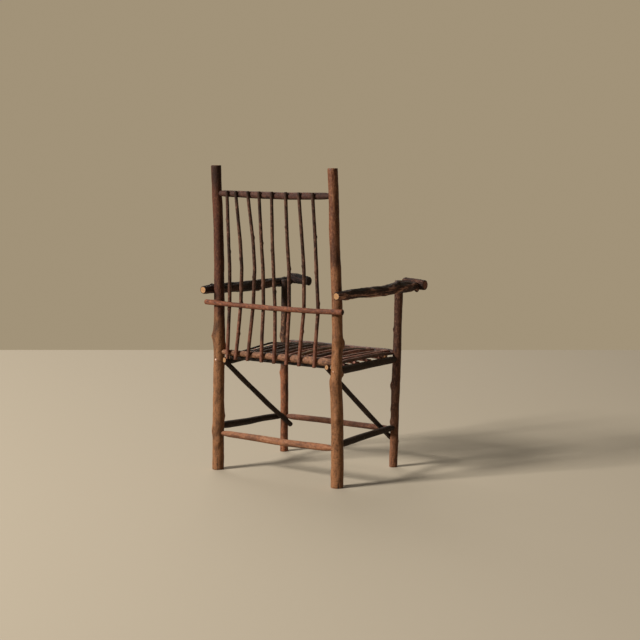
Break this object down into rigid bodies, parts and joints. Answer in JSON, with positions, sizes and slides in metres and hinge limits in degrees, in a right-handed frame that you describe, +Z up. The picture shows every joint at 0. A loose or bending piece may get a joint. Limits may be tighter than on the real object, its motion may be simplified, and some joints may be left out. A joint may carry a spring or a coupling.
{
  "type": "twig armchair",
  "caption": "Rustic high-backed armchair of bark-on sticks: tenoned rails, bent spindles, a seat of laid twigs, rough log arms and diagonal side braces.",
  "frame": {"origin": "floor level, under the middle of the chair's box", "axes": "+X towards the sitter's left, -Y towards the front, +Z up"},
  "size_m": [0.6338, 0.5632, 1.123],
  "materials": {
    "bark_post": "thin satin bark, worn smooth",
    "bark_dark": "dark rough bark",
    "bark_rose": "smooth reddish bark",
    "bark_spindle": "dark smooth bark",
    "bark_twig": "weathered grey-brown bark"
  },
  "bodies": {
    "root": {"back_post_left": "bark_post", "back_post_right": "bark_post", "front_leg_left": "bark_post", "front_leg_right": "bark_post", "arm_left": "bark_dark", "arm_right": "bark_dark", "hand_rest_left": "bark_dark", "hand_rest_right": "bark_dark", "brace_left": "bark_dark", "brace_right": "bark_dark", "side_seat_rail_left": "bark_dark", "side_seat_rail_right": "bark_dark", "side_stretcher_left": "bark_dark", "side_stretcher_right": "bark_dark", "back_seat_rail": "bark_rose", "front_seat_rail": "bark_rose", "back_stretcher": "bark_rose", "front_stretcher": "bark_rose", "lumbar_rail": "bark_rose", "top_rail": "bark_spindle", "spindle_1": "bark_spindle", "spindle_2": "bark_spindle", "spindle_3": "bark_spindle", "spindle_4": "bark_spindle", "spindle_5": "bark_spindle", "spindle_6": "bark_spindle", "spindle_7": "bark_spindle", "spindle_8": "bark_spindle", "seat_twig_01": "bark_twig", "seat_twig_02": "bark_twig", "seat_twig_03": "bark_twig", "seat_twig_04": "bark_twig", "seat_twig_05": "bark_twig", "seat_twig_06": "bark_twig", "seat_twig_07": "bark_twig", "seat_twig_08": "bark_twig", "seat_twig_09": "bark_twig", "seat_twig_10": "bark_twig", "seat_twig_11": "bark_twig", "seat_twig_12": "bark_twig", "seat_twig_13": "bark_twig", "seat_twig_14": "bark_twig", "seat_twig_15": "bark_twig", "seat_bearer_1": "bark_twig", "seat_bearer_2": "bark_twig", "seat_bearer_3": "bark_twig", "seat_bearer_4": "bark_twig", "back_cleat": "bark_twig", "front_cleat": "bark_twig"}
  },
  "joints": []
}
